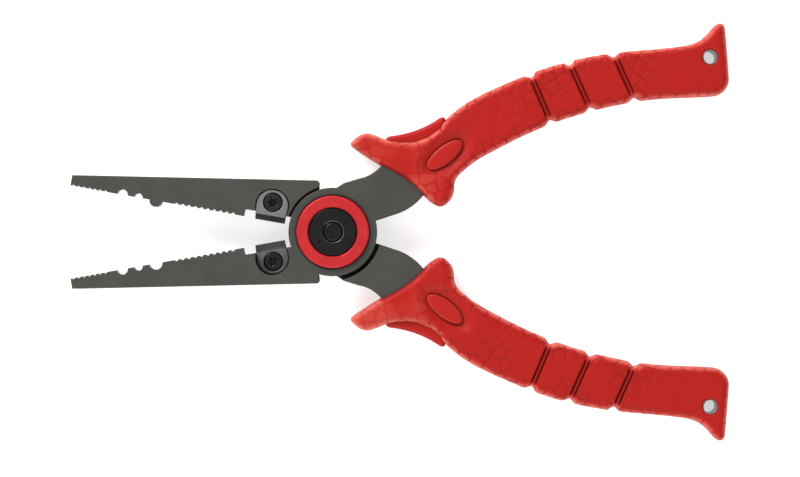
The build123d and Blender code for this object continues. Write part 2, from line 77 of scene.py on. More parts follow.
# The mesh of a grip: where its outline is cut from the CAD node and how it is smoothed, then the
# point spacing on its faces and along its edges.
SKIN_CUT_Z = CORE_HALF_T + 0.2
SKIN_PASSES = (4, 2)      # before and after the notches are opened
CORE_PASSES = 9
MESH_STEP = 0.42
OUTLINE_STEP = 0.33
CORE_STEP = 1.0
CORE_OUTLINE_STEP = 0.4
RIM_STEPS = (0.06, 0.2, 0.42, 0.72, 1.1, 1.55, 2.05, 2.6)
RIM_CLEAR = 2.75          # the even grid starts this far inside a skin's edge
CORE_RIM_CLEAR = 1.9
RING_KEEP = 0.93          # rim points closer to the edge than this share of their step are dropped
EXTRA_GAP, RIM_GAP, GRID_GAP = 0.4, 0.13, 0.62    # least spacing, as shares of the grid's step
SKIN_WALL_ROWS, CORE_WALL_ROWS = 7, 4

# A face rounds off over RIM_ACROSS from the edge and falls by RIM_DOWN there.
RIM_ACROSS = 2.3
RIM_DOWN = 3.4
RIM_POWER = 2.3
CIRCLE_POWER = 2.0
EYELET_ROUND = 0.5
LEDGE_HALF_T = 4.6        # the core's ledge beside the guard
LEDGE_ROUND = 1.2
CORE_CUT_Z = LEDGE_HALF_T - 0.4

# The three finger grooves, each from its outer to its inner end.
GROOVES = (((69.7, 37.9), (73.5, 21.5)), ((82.5, 38.9), (86.4, 23.5)), ((96.6, 39.5), (100.5, 24.0)))
GROOVE_HALF_W = 0.95
GROOVE_DEPTH = 1.15
GROOVE_LINES = (0.0, 0.22, 0.42, 0.6, 0.78, 0.96, 1.14, 1.4, 1.75)
GROOVE_OVERRUN = 6
GROOVE_EDGE_CLEAR = 0.35
GROOVE_SLOPE = 0.3
GROOVE_RIB = 0.5          # the raised middle of a groove, as a share of its depth
GROOVE_RIB_HALF_W = 0.45
GROOVE_START = 0.3        # each groove sinks from this far inside the edge,
GROOVE_RUN_IN = 2.0       # over this length

# The V notch where a groove runs out over the edge.
NOTCH_HALF_W = 1.75
NOTCH_DEPTH = 1.55
NOTCH_ROUND = 0.14
NOTCH_REACH = 4.5
SLOT_REACH = 3.2          # the plain slot that the V takes the place of
SLOT_MARGIN = 0.35

# The oval inlay on the guard, and the dish that it lies in.
OVAL_AT = (38.8, 17.7)
OVAL_ANGLE = math.radians(28)
OVAL_A, OVAL_B = 6.7, 2.75
OVAL_MARGIN = 0.05
OVAL_RINGS = (-0.5, 0.0, OVAL_MARGIN, OVAL_MARGIN + 0.06, 0.35, 0.55, 0.85, 1.2)
OVAL_RING_POINTS = 110
OVAL_SIDES = 96
OVAL_TOP = HALF_T - 0.1
OVAL_EDGE = ((0.0, 0.75), (-0.08, 0.42), (-0.28, 0.2), (-0.6, 0.07))   # (grown by, below the top)
OVAL_DOME = 0.07
OVAL_DOME_RINGS = (0.75, 0.5, 0.28, 0.12)
# The oval's paler rim is a painted highlight.
OVAL_RIM_TONE = 0.9
OVAL_SEAT = CORE_HALF_T - 0.02
DISH_DEPTH = 1.3
DISH_WIDTH = 4.6
DISH_EDGE = 3.4

# The scales: spacing, relief, and where they show.
SEED_LIMIT = 900
SCALE_SMALL, SCALE_LARGE = 2.9, 5.8
SCALE_SPREAD = 1.3        # above 1, small scales outnumber large ones
SCALE_DEPTH = 0.2
SCALE_SEAM = 1.05
SCALE_TILT = 0.035
TILT_REACH = 1.6
TILT_X, TILT_Y = 0.8, 0.6   # the way each scale leans
SCALE_FAINTEST, SCALE_FULLEST = 0.12, 0.95     # strength between the patches and in them
PATCH_POWER = 1.5
PATCH_SIZE = 17.0
PATCH_WAVES = 6
PATCH_SOFTNESS = 5.0      # the waves' sum is divided by this
EDGE_SCALES = (0.8, 4.2)  # full this near the edge, and down to the patches' strength at that
TAIL_SMOOTH = (102.0, 116.0)
TAIL_FADE = 0.75
GUARD = (28.0, 44.0)      # the guard ends between these
GUARD_FADE = 0.68
OVAL_CLEAR = (0.4, 1.6)
HOLE_CLEAR = (0.3, 1.3)
GROOVE_CLEAR = (GROOVE_HALF_W - 0.2, GROOVE_HALF_W + 0.5)

# The rubber's tone: 0 is the seams' deep colour and 1 the crests' pale one; the dark end is painted shade
# and the pale end painted highlight.
BODY_TONE = 0.5
SEAM_TONE = 0.34
SEAM_POWER = 1.5
RIM_BAND = 1.9            # the paler band along the edges, a painted highlight
RIM_HEIGHTS = (3.4, 5.0)  # shows on the shoulders above these, not on the walls
RIM_TONE, RIM_PATCH_TONE, RIM_SEAM = 0.33, 0.22, 0.55
GUARD_TONE, GUARD_PATCH_TONE = 0.03, 0.16
# The dish round the oval, the grooves' lines and the steel's exit are darkened as painted shade.
DISH_TONE, DISH_TONE_WIDTH = 0.16, 2.2
GROOVE_TONE, GROOVE_MIDDLE_TONE = 0.42, 0.12
GROOVE_LINE_HALF_W = 0.36
GROOVE_MIDDLE_BLUR = 0.3
GROOVE_TONE_EDGE = (1.0, 2.0)
ARM_EXIT = ((19.0, 17.7), (24.7, 13.5), (29.9, 6.3))   # where the steel comes out of the grip
ARM_EXIT_REACH = 1.9
ARM_EXIT_TONE = 0.4

# The return spring.
WIRE_R = 0.475
COIL_R = 6.0
COIL_PITCH = 1.02
COIL_TURNS = 2 + (180 - 20) / 360
LEG_END = 2.95            # height of each leg's end from mid thickness
LEG_ANGLE = math.radians(-100)
LEG_GAP = 0.6 * WIRE_R    # a leg stops this far from the coil, and the bend is what joins them
COIL_POINTS, BEND_POINTS, LEG_POINTS, WIRE_SIDES = 200, 2, 8, 14

# Finishes.
EDGE_BAND = 0.0004         # width of an edge's band, rubbed lighter in places and painted darker as shade in others, in metres
LAND_Z = MID_Z - 0.18     # between the deep blade's body and its cutting land
LAND_BLUR = 0.02
STEEL_SHADE_REACH, RUBBER_SHADE_REACH = 0.002, 0.0014    # how far the painted corner shade reaches, in metres
STEEL_CORNER_SHADE, RUBBER_CORNER_SHADE = 0.03, 0.5      # how dark the painted shade makes the deepest corners

# The studio, in metres and watts.
FLOOR_GLOW = 0.6
FLOOR_HALF = 3.0
FLOOR_DROP = 0.0002
WORLD_LIGHT = 0.55
CAMERA_HEIGHT = 1.4
CAMERA_AT = (0.0211, -0.00205)
LENS = 143.0 * CAMERA_HEIGHT


def lever_matrix(turned_over):
    """The lever frame in the row frame, as a 4x4 matrix in metres."""
    turn = Matrix.Rotation(math.pi, 4, "X") if turned_over else Matrix.Identity(4)
    open_up = Matrix.Rotation(HALF_OPEN, 4, "Z")
    return Matrix.Translation((0, 0, MID_Z * MM)) @ turn @ open_up @ Matrix.Scale(MM, 4)


# ---------------------------------------------------------------- node materials
def new_material(name, roughness=0.5, metallic=0.0, **sockets):
    """A material with its Principled shader, and the constants set on the shader's own sockets."""
    material = bpy.data.materials.new(name)
    material.use_nodes = True
    shader = material.node_tree.nodes["Principled BSDF"]
    shader.inputs["Roughness"].default_value = roughness
    shader.inputs["Metallic"].default_value = metallic
    for socket, value in sockets.items():
        shader.inputs[socket.replace("_", " ")].default_value = value
    return material, shader


def add_node(material, kind, inputs=(), **properties):
    """A new node; each input is a number, a colour or another node's output."""
    node = material.node_tree.nodes.new(kind)
    for name, value in properties.items():
        setattr(node, name, value)
    for name, value in dict(inputs).items():
        if isinstance(value, bpy.types.NodeSocket):
            material.node_tree.links.new(value, node.inputs[name])
        else:
            node.inputs[name].default_value = value
    return node


def link(material, output, socket):
    material.node_tree.links.new(output, socket)


def object_place(material, stretch=(1, 1, 1)):
    """Place on the piece in metres, stretched along its axes."""
    place = add_node(material, "ShaderNodeTexCoord").outputs["Object"]
    return add_node(material, "ShaderNodeMapping", {"Vector": place, "Scale": stretch}).outputs["Vector"]


def noise(material, place, scale, detail=4.0, roughness=0.55):
    inputs = {"Vector": place, "Scale": scale, "Detail": detail, "Roughness": roughness}
    return add_node(material, "ShaderNodeTexNoise", inputs).outputs["Fac"]


def ramp(material, factor, *stops):
    """A colour ramp; each stop is (position, colour)."""
    node = add_node(material, "ShaderNodeValToRGB", {"Fac": factor})
    elements = node.color_ramp.elements
    while len(elements) < len(stops):
        elements.new(0.5)
    for element, (position, colour) in zip(elements, stops):
        element.position = position
        element.color = (*colour, 1)
    return node.outputs["Color"]


def map_range(material, value, low, high, to_low, to_high):
    inputs = {"Value": value, "From Min": low, "From Max": high, "To Min": to_low, "To Max": to_high}
    return add_node(material, "ShaderNodeMapRange", inputs).outputs["Result"]


def mix(material, factor, first, second, blend_type="MIX"):
    node = add_node(material, "ShaderNodeMix", data_type="RGBA", blend_type=blend_type)
    for index, value in ((0, factor), (6, first), (7, second)):
        if isinstance(value, bpy.types.NodeSocket):
            link(material, value, node.inputs[index])
        else:
            node.inputs[index].default_value = value if index == 0 else (*value, 1)
    return node.outputs[2]


def bump(material, height, strength, distance, normal=None):
    inputs = {"Height": height, "Strength": strength, "Distance": distance}
    if normal is not None:
        inputs["Normal"] = normal
    return add_node(material, "ShaderNodeBump", inputs).outputs["Normal"]


def edge_mask(material, radius):
    """About 1 along the piece's edges and 0 on its flats, with the rounded normal that goes with it."""
    rounded = add_node(material, "ShaderNodeBevel", {"Radius": radius}, samples=6).outputs["Normal"]
    normal = add_node(material, "ShaderNodeNewGeometry").outputs["Normal"]
    dot = add_node(material, "ShaderNodeVectorMath", {0: rounded, 1: normal}, operation="DOT_PRODUCT")
    return map_range(material, dot.outputs["Value"], 0.99, 0.75, 0.0, 1.0), rounded


def grey(material, value):
    """The value as a colour."""
    return ramp(material, value, (0.0, (0, 0, 0)), (1.0, (1, 1, 1)))


def painted_crevice_shade(material, body, reach, darkest):
    """The colour, darkened with painted shade in corners and under overhangs, as far as occlusion reaches.
    """
    corners = add_node(material, "ShaderNodeAmbientOcclusion", {"Distance": reach}, samples=8)
    unshaded = map_range(material, corners.outputs["AO"], 0.5, 0.9, darkest, 1.0)
    return mix(material, 1.0, body, grey(material, unshaded), "MULTIPLY")


def ground_streaks(material, dark, light):
    """Fine streaks across the blades, as grinding leaves them."""
    streaks = noise(material, object_place(material, (0.25, 2.2, 0.05)), 1500, 3)
    return ramp(material, streaks, (0.35, dark), (0.75, light))


def coated_steel(name, dark, light, edge, roughness=0.5, metallic=0.4, bevel=None, land=None,
                 darkest=STEEL_CORNER_SHADE):
    """Satin coated steel: cloudy tone, fine grain, edges rubbed lighter in places and painted darker as
    shade in others, and painted shade in its corners.

    A blade's tilted bevel has its own colour, painted shade that follows which way the face tilts, and a
    raised land has its own colour, each as a (dark, light) pair.
    """
    material, shader = new_material(name, metallic=metallic)
    place = object_place(material)
    cloud = noise(material, place, 90, 3)
    grain = noise(material, object_place(material, (1, 4, 1)), 2600, 2)
    body = ramp(material, cloud, (0.3, dark), (0.72, light))
    speck = ramp(material, grain, (0.35, (0.86, 0.86, 0.86)), (0.7, (1.06, 1.06, 1.06)))
    body = mix(material, 1.0, body, speck, "MULTIPLY")
    # A tilted face takes the bevel's dark colour: painted shade by the face's direction, over real grinding
    # streaks.
    if bevel:
        normal = add_node(material, "ShaderNodeNewGeometry").outputs["True Normal"]
        facing = add_node(material, "ShaderNodeSeparateXYZ", {"Vector": normal}).outputs["Z"]
        tilted = map_range(material, facing, 0.93, 0.97, 1.0, 0.0)
        body = mix(material, tilted, body, ground_streaks(material, *bevel))
        link(material, map_range(material, tilted, 0, 1, 0.5, 0.12), shader.inputs["Specular IOR Level"])
        link(material, map_range(material, tilted, 0, 1, metallic, 0.0), shader.inputs["Metallic"])
    if land:
        up = add_node(material, "ShaderNodeSeparateXYZ", {"Vector": place}).outputs["Z"]
        raised = map_range(material, up, (LAND_Z - LAND_BLUR) * MM, (LAND_Z + LAND_BLUR) * MM, 0.0, 1.0)
        body = mix(material, raised, body, ground_streaks(material, *land))
    # Edge colour: rubbed wear where it is lighter, painted shade where it is darker, as on the lever steel.
    mask, rounded = edge_mask(material, EDGE_BAND)
    edge_wear_and_shade = noise(material, place, 260, 3)
    edge_colour = ramp(material, edge_wear_and_shade, (0.5, edge[0]), (0.68, edge[1]))
    share = add_node(material, "ShaderNodeMath", {0: mask, 1: 0.85}, operation="MULTIPLY").outputs[0]
    body = mix(material, share, body, edge_colour)
    # The steel's colour, with painted shade in its corners and gaps.
    link(material, painted_crevice_shade(material, body, STEEL_SHADE_REACH, darkest), shader.inputs["Base Color"])
    link(material, map_range(material, grain, 0.2, 0.8, roughness - 0.05, roughness + 0.08),
         shader.inputs["Roughness"])
    link(material, bump(material, grain, 0.12, 0.00004, rounded), shader.inputs["Normal"])
    return material


def turned_metal(name, dark, light, roughness, metallic, highlight_rings=(), ring_pitch=0.00012):
    """Lathe-turned metal: fine rings about the pivot axis, and painted highlight rings (radius, half
    width), broken in places.
    """
    material, shader = new_material(name, metallic=metallic)
    place = add_node(material, "ShaderNodeTexCoord").outputs["Object"]
    rings = add_node(material, "ShaderNodeTexWave",
                     {"Vector": place, "Scale": 0.1 / ring_pitch, "Distortion": 0.6, "Detail": 2.0},
                     wave_type="RINGS", rings_direction="Z").outputs["Fac"]
    cloud = noise(material, place, 220, 3)
    tone = mix(material, 0.25, grey(material, cloud), grey(material, rings))
    body = ramp(material, tone, (0.3, dark), (0.7, light))
    flat = add_node(material, "ShaderNodeVectorMath", {0: place, 1: (1, 1, 0)}, operation="MULTIPLY")
    length = add_node(material, "ShaderNodeVectorMath", {0: flat.outputs[0]}, operation="LENGTH")
    radius = length.outputs["Value"]
    highlight_breaks = noise(material, place, 420, 3)
    # Each ring is a painted highlight: a pale band where a chamfer would catch the light.
    for middle, half in highlight_rings:
        past = add_node(material, "ShaderNodeMath", {0: radius, 1: middle * MM}, operation="SUBTRACT")
        away = add_node(material, "ShaderNodeMath", {0: past.outputs[0]}, operation="ABSOLUTE")
        band = map_range(material, away.outputs[0], half * MM, 0.3 * half * MM, 0.0, 1.0)
        broken = map_range(material, highlight_breaks, 0.4, 0.62, 0.15, 1.0)
        share = add_node(material, "ShaderNodeMath", {0: band, 1: broken}, operation="MULTIPLY").outputs[0]
        body = mix(material, share, body, (0.2, 0.19, 0.2))
    link(material, body, shader.inputs["Base Color"])
    link(material, map_range(material, rings, 0, 1, roughness - 0.04, roughness + 0.06),
         shader.inputs["Roughness"])
    rounded = add_node(material, "ShaderNodeBevel", {"Radius": EDGE_BAND / 2}, samples=6).outputs["Normal"]
    link(material, bump(material, rings, 0.1, 0.00002, rounded), shader.inputs["Normal"])
    return material


def moulded_rubber(name, valley_colour, body_colour, ridge_colour, roughness=0.5):
    """Red moulded rubber: deeper colour in the seams between scales as painted shade, paler on the crests
    as painted highlight.
    """
    material, shader = new_material(name, Specular_IOR_Level=0.22, Sheen_Weight=0.22,
                                    Sheen_Roughness=0.4, Sheen_Tint=(1, 0.45, 0.38, 1))
    place = object_place(material)
    cloud = noise(material, place, 70, 3)
    pores = noise(material, place, 3800, 2)
    # The height attribute carries the tone, painted shade and highlight included.
    height = add_node(material, "ShaderNodeAttribute", attribute_name="height").outputs["Fac"]
    body = ramp(material, height, (0.0, valley_colour), (0.55, body_colour), (1.0, ridge_colour))
    shade = ramp(material, cloud, (0.3, (0.93, 0.9, 0.9)), (0.7, (1.0, 1.0, 1.0)))
    body = mix(material, 1.0, body, shade, "MULTIPLY")
    # The rubber's colour, with painted shade at the steel's edge, round the oval and in other corners.
    link(material, painted_crevice_shade(material, body, RUBBER_SHADE_REACH, RUBBER_CORNER_SHADE),
         shader.inputs["Base Color"])
    link(material, map_range(material, pores, 0.25, 0.75, roughness - 0.05, roughness + 0.09),
         shader.inputs["Roughness"])
    link(material, bump(material, pores, 0.22, 0.00006), shader.inputs["Normal"])
    return material


# ---------------------------------------------------------------- plan geometry
def section_loops(node, height):
    """Closed outlines of one of the top lever's nodes, cut that far above mid thickness, in lever mm."""
    mesh = bmesh.new()
    mesh.from_mesh(node.data)
    mesh.transform(lever_matrix(False).inverted())
    bmesh.ops.remove_doubles(mesh, verts=mesh.verts, dist=1e-4)
    everything = mesh.verts[:] + mesh.edges[:] + mesh.faces[:]
    cut = bmesh.ops.bisect_plane(mesh, geom=everything, dist=1e-5, plane_co=(0, 0, height),
                                 plane_no=(0, 0, 1))
    edges = {e for e in cut["geom_cut"] if isinstance(e, bmesh.types.BMEdge)}
    loops = []
    while edges:
        edge = edges.pop()
        start, vert = edge.verts
        loop = [start.co.xy.copy()]
        while vert != start:
            loop.append(vert.co.xy.copy())
            onward = next((e for e in vert.link_edges if e in edges), None)
            if onward is None:
                break
            edges.discard(onward)
            vert = onward.other_vert(vert)
        loops.append(np.array(loop))
    mesh.free()
    return sorted(loops, key=lambda loop: -np.ptp(loop, axis=0).sum())


def resample(loop, step):
    """The closed loop again, anticlockwise from its leftmost point, with points evenly spaced."""
    x, y = loop.T
    if np.dot(x, np.roll(y, -1)) < np.dot(y, np.roll(x, -1)):
        loop = loop[::-1]
    loop = np.roll(loop, -np.lexsort((loop[:, 1], loop[:, 0]))[0], axis=0)
    closed = np.vstack([loop, loop[:1]])
    along = np.concatenate([[0], np.cumsum(np.linalg.norm(np.diff(closed, axis=0), axis=1))])
    count = round(along[-1] / step)
    places = np.arange(count) * along[-1] / count
    return np.column_stack([np.interp(places, along, closed[:, i]) for i in (0, 1)])


def soften(loop, passes):
    """Corners rounded by averaging each point with its neighbours."""
    for _ in range(passes):
        loop = loop / 2 + (np.roll(loop, 1, axis=0) + np.roll(loop, -1, axis=0)) / 4
    return loop


def inward(loop):
    """Unit normals pointing into an anticlockwise loop."""
    run = np.roll(loop, -1, axis=0) - np.roll(loop, 1, axis=0)
    run /= np.linalg.norm(run, axis=1)[:, None]
    return np.column_stack([-run[:, 1], run[:, 0]])


def distance_to(loop, points):
    """Distance from each point to the closed loop, and whether it is inside."""
    a, b = loop, np.roll(loop, -1, axis=0)
    run = b - a
    length2 = (run ** 2).sum(1)
    distance = np.empty(len(points))
    inside = np.empty(len(points), bool)
    for i in range(0, len(points), 2000):
        p = points[i:i + 2000, None, :]
        t = np.clip(((p - a) * run).sum(2) / length2, 0, 1)
        distance[i:i + 2000] = np.sqrt((((a + t[..., None] * run) - p) ** 2).sum(2).min(1))
        crosses = (a[:, 1] > p[..., 1]) != (b[:, 1] > p[..., 1])
        climb = np.where(run[:, 1] == 0, 1e-12, run[:, 1])
        at_x = a[:, 0] + (p[..., 1] - a[:, 1]) * run[:, 0] / climb
        inside[i:i + 2000] = (crosses & (p[..., 0] < at_x)).sum(1) % 2 == 1
    return distance, inside


def roundest(loops):
    """The loop as wide as it is tall: the lanyard hole's."""
    return min(loops, key=lambda loop: abs(np.ptp(loop[:, 0]) - np.ptp(loop[:, 1])))


def smoothstep(value):
    value = np.clip(value, 0, 1)
    return value * value * (3 - 2 * value)


def rise(value, low, high):
    """0 below low, 1 above high, and a smooth rise between."""
    return smoothstep((value - low) / (high - low))


def thin_out(points, kept, gap):
    """The points that are at least gap away from every kept point."""
    tree = KDTree(len(kept))
    for i, point in enumerate(kept):
        tree.insert((*point, 0), i)
    tree.balance()
    return np.array([p for p in points if tree.find((*p, 0))[2] >= gap]).reshape(-1, 2)


def hex_grid(low, high, step):
    """Points of a triangular grid over a rectangle."""
    xs = np.arange(low[0], high[0], step)
    ys = np.arange(low[1], high[1], step * math.sqrt(3) / 2)
    return np.array([(x + step / 2 * (j % 2), y) for j, y in enumerate(ys) for x in xs])


def oval_distance(points, margin=0.0):
    """Signed distance, roughly, from each point to the guard's oval outline; negative inside."""
    c, s = math.cos(OVAL_ANGLE), math.sin(OVAL_ANGLE)
    d = points - np.array(OVAL_AT)
    u, v = d[:, 0] * c + d[:, 1] * s, -d[:, 0] * s + d[:, 1] * c
    ratio = np.sqrt((u / (OVAL_A + margin)) ** 2 + (v / (OVAL_B + margin)) ** 2) + 1e-9
    return (ratio - 1) * np.sqrt(u * u + v * v) / ratio


def oval_ring(grow, count):
    """Points round the guard's oval, grown by that much."""
    c, s = math.cos(OVAL_ANGLE), math.sin(OVAL_ANGLE)
    turn = np.arange(count) * 2 * math.pi / count
    u, v = (OVAL_A + grow) * np.cos(turn), (OVAL_B + grow) * np.sin(turn)
    return np.column_stack([OVAL_AT[0] + u * c - v * s, OVAL_AT[1] + u * s + v * c])


def groove_distance(points, groove):
    """Signed distance from each point to a groove's middle line."""
    start, end = np.array(groove)
    run = (end - start) / np.linalg.norm(end - start)
    return (points - start) @ np.array([-run[1], run[0]])


def path_distance(points, path):
    """Distance from each point to a path of straight runs."""
    distance = np.full(len(points), np.inf)
    for start, end in zip(np.array(path), np.array(path)[1:]):
        run = end - start
        t = np.clip((points - start) @ run / (run @ run), 0, 1)
        distance = np.minimum(distance, np.linalg.norm(points - start - t[:, None] * run, axis=1))
    return distance


def groove_points(outline):
    """Rows of points along each finger groove, so that its walls come out straight."""
    rows = []
    for groove in GROOVES:
        start, end = np.array(groove)
        length = np.linalg.norm(end - start)
        run = (end - start) / length
        side = np.array([-run[1], run[0]])
        along = np.arange(-GROOVE_OVERRUN, length + GROOVE_OVERRUN, MESH_STEP)
        for offset in sorted({sign * line for line in GROOVE_LINES for sign in (-1, 1)}):
            rows.append(start + along[:, None] * run + offset * side)
    rows = np.vstack(rows)
    distance, inside = distance_to(outline, rows)
    return rows[inside & (distance > GROOVE_EDGE_CLEAR)]


def plan_mesh(outline, holes, extra, step, clear_of_rim):
    """Points and triangles that fill an outline, finer along its rim and round its holes."""
    normal = inward(outline)
    points = [np.vstack([outline, *holes])]
    rims = []
    for k in RIM_STEPS:
        ring = outline + normal * k
        distance, inside = distance_to(outline, ring)
        rims.append(ring[inside & (distance > RING_KEEP * k)])
        for hole in holes:
            around = hole + inward(hole) * -k
            rims.append(around[distance_to(outline, around)[1]])
    if len(extra):
        points.append(thin_out(extra, np.vstack(points), step * EXTRA_GAP))
    points.append(thin_out(np.vstack(rims), np.vstack(points), step * RIM_GAP))
    grid = hex_grid(outline.min(0), outline.max(0), step)
    distance, inside = distance_to(outline, grid)
    grid = grid[inside & (distance > clear_of_rim)]
    for hole in holes:
        distance, inside = distance_to(hole, grid)
        grid = grid[~inside & (distance > RIM_STEPS[3])]
    points.append(thin_out(grid, np.vstack(points), step * GRID_GAP))
    points = np.vstack(points)
    edges, first = [], 0
    for loop in [outline, *holes]:
        count = len(loop)
        edges += [(first + i, first + (i + 1) % count) for i in range(count)]
        first += count
    done = delaunay_2d_cdt([Vector(p) for p in points.tolist()], edges, [], 0, 1e-7)
    plan, triangles = np.array([tuple(v) for v in done[0]]), np.array(done[2])
    middle = plan[triangles].mean(1)
    keep = distance_to(outline, middle)[1]
    for hole in holes:
        keep &= ~distance_to(hole, middle)[1]
    return plan, triangles[keep]


def two_sided(plan, triangles, loops, tops, bottoms, rows):
    """A closed mesh from one plan used for both faces, joined by walls along its loops."""
    count = len(plan)
    verts = [np.column_stack([plan, tops]), np.column_stack([plan, bottoms])]
    faces = [tuple(t) for t in triangles.tolist()]
    faces += [tuple(reversed([i + count for i in t])) for t in triangles.tolist()]
    first, total = 0, 2 * count
    for loop in loops:
        size = len(loop)
        rings = [list(range(first, first + size))]
        for row in range(1, rows):
            t = row / rows
            ring = slice(first, first + size)
            height = tops[ring] * (1 - t) + bottoms[ring] * t
            verts.append(np.column_stack([plan[ring], height]))
            rings.append(list(range(total, total + size)))
            total += size
        rings.append([i + count for i in rings[0]])
        for upper, lower in zip(rings, rings[1:]):
            for i in range(size):
                j = (i + 1) % size
                faces.append((upper[i], lower[i], lower[j], upper[j]))
        first += size
    return np.vstack(verts), faces


def new_piece(name, verts, faces, matrix, material):
    """A smooth-shaded mesh object with its normals facing out."""
    mesh = bpy.data.meshes.new(name)
    mesh.from_pydata(np.asarray(verts).tolist(), [], faces)
    mesh.transform(matrix)
    work = bmesh.new()
    work.from_mesh(mesh)
    bmesh.ops.recalc_face_normals(work, faces=work.faces)
    work.to_mesh(mesh)
    work.free()
    mesh.shade_smooth()
    piece = bpy.data.objects.new(name, mesh)
    bpy.context.scene.collection.objects.link(piece)
    mesh.materials.append(material)
    return piece


# ---------------------------------------------------------------- grip pieces
def rim_drop(distance, across, down, power):
    """How far the face falls below its flat, this far in from the edge."""
    t = np.clip(1 - distance / across, 0, 1)
    return down * (1 - (1 - t ** power) ** (1 / power))


def open_notches(outline):
    """The outline with a rounded V where each finger groove runs out over its edge."""
    for groove in GROOVES:
        for end in groove:
            near = np.linalg.norm(outline - np.array(end), axis=1) < SLOT_REACH
            in_slot = np.abs(groove_distance(outline, groove)) < GROOVE_HALF_W + SLOT_MARGIN
            outline = outline[~(near & in_slot)]
    outline = resample(outline, OUTLINE_STEP)
    normal = inward(outline)
    drawn = outline.copy()
    for groove in GROOVES:
        across = groove_distance(outline, groove) / NOTCH_HALF_W
        pull = NOTCH_DEPTH * np.clip(1 + NOTCH_ROUND / 2 - np.hypot(across, NOTCH_ROUND), 0, 1)
        for end in groove:
            near = np.linalg.norm(outline - np.array(end), axis=1) < NOTCH_REACH
            drawn += normal * (pull * near)[:, None]
    return resample(drawn, OUTLINE_STEP)


def grip_base():
    """The smooth grip skin in the lever frame: plan, triangles, loops, and its face's height."""
    loops = section_loops(nodes["top_grip_skin"], SKIN_CUT_Z)
    outline = soften(resample(loops[0], OUTLINE_STEP), SKIN_PASSES[0])
    outline = soften(open_notches(outline), SKIN_PASSES[1])
    hole = resample(roundest(loops[1:]), OUTLINE_STEP)
    ovals = [oval_ring(grow, OVAL_RING_POINTS) for grow in OVAL_RINGS]
    extra = np.vstack([*ovals, groove_points(outline)])
    plan, triangles = plan_mesh(outline, [hole], extra, MESH_STEP, RIM_CLEAR)
    distance, _ = distance_to(outline, plan)
    to_hole, _ = distance_to(hole, plan)
    height = HALF_T - rim_drop(distance, RIM_ACROSS, RIM_DOWN, RIM_POWER)
    height -= rim_drop(to_hole, EYELET_ROUND, EYELET_ROUND, CIRCLE_POWER)
    for groove in GROOVES:
        across = np.abs(groove_distance(plan, groove))
        floor = smoothstep((GROOVE_HALF_W + GROOVE_SLOPE / 2 - across) / GROOVE_SLOPE)
        floor -= GROOVE_RIB * smoothstep((GROOVE_RIB_HALF_W + GROOVE_SLOPE / 2 - across) / GROOVE_SLOPE)
        height -= GROOVE_DEPTH * floor * smoothstep((distance - GROOVE_START) / GROOVE_RUN_IN)
    from_oval = oval_distance(plan, OVAL_MARGIN)
    height -= DISH_DEPTH * (1 - smoothstep(from_oval / DISH_WIDTH)) * smoothstep(distance / DISH_EDGE)
    height = np.where(from_oval < 0.001, OVAL_SEAT, height)
    return plan, triangles, [outline, hole], height


def scatter_seeds(verts, count, low, high, generator):
    """Points on the surface, spaced unevenly between low and high."""
    order = generator.permutation(len(verts))
    spacing = low + (high - low) * generator.random(len(verts)) ** SCALE_SPREAD
    seeds = np.empty((0, 3))
    for i in order:
        if len(seeds) == 0 or ((seeds - verts[i]) ** 2).sum(1).min() > spacing[i] ** 2:
            seeds = np.vstack([seeds, verts[i]])
        if len(seeds) >= count:
            break
    return seeds


def patches(flat, generator):
    """A slow random swell over the grip, from 0 to 1, that thins the scales out in places."""
    total = np.zeros(len(flat))
    for _ in range(PATCH_WAVES):
        heading, phase = generator.random(2) * 2 * math.pi
        pitch = PATCH_SIZE * (0.7 + 0.8 * generator.random())
        wave = flat @ np.array([math.cos(heading), math.sin(heading)])
        total += np.sin(wave * 2 * math.pi / pitch + phase)
    return smoothstep(total / PATCH_SOFTNESS + 0.5)


def scale_relief(verts, seeds):
    """Depth below the crest at each point of a skin of rounded scales, and each scale's own slope."""
    tree = KDTree(len(seeds))
    for i, seed in enumerate(seeds):
        tree.insert(seed, i)
    tree.balance()
    depth = np.empty(len(verts))
    slope = np.empty(len(verts))
    for i, point in enumerate(verts):
        near, second = tree.find_n(point, 2)
        gap = second[2] - near[2]
        seam = max(0.0, 1 - gap / SCALE_SEAM)
        depth[i] = seam * seam * (3 - 2 * seam)
        slope[i] = (point[0] - near[0][0]) * TILT_X - (point[1] - near[0][1]) * TILT_Y
    return depth, slope


def scale_strength(flat, to_edge, to_hole, from_oval, on_guard, patch):
    """How strongly the scales show at each point, from 0 to 1."""
    near_edge = 1 - rise(to_edge, *EDGE_SCALES)
    strength = SCALE_FAINTEST + (SCALE_FULLEST - SCALE_FAINTEST) * patch ** PATCH_POWER
    strength = near_edge + (1 - near_edge) * strength
    strength *= 1 - TAIL_FADE * rise(flat[:, 0], *TAIL_SMOOTH)
    strength *= 1 - GUARD_FADE * on_guard
    strength *= rise(from_oval, *OVAL_CLEAR)
    strength *= rise(to_hole, *HOLE_CLEAR)
    for groove in GROOVES:
        across = np.abs(groove_distance(flat, groove))
        strength *= rise(across, *GROOVE_CLEAR)
    return strength


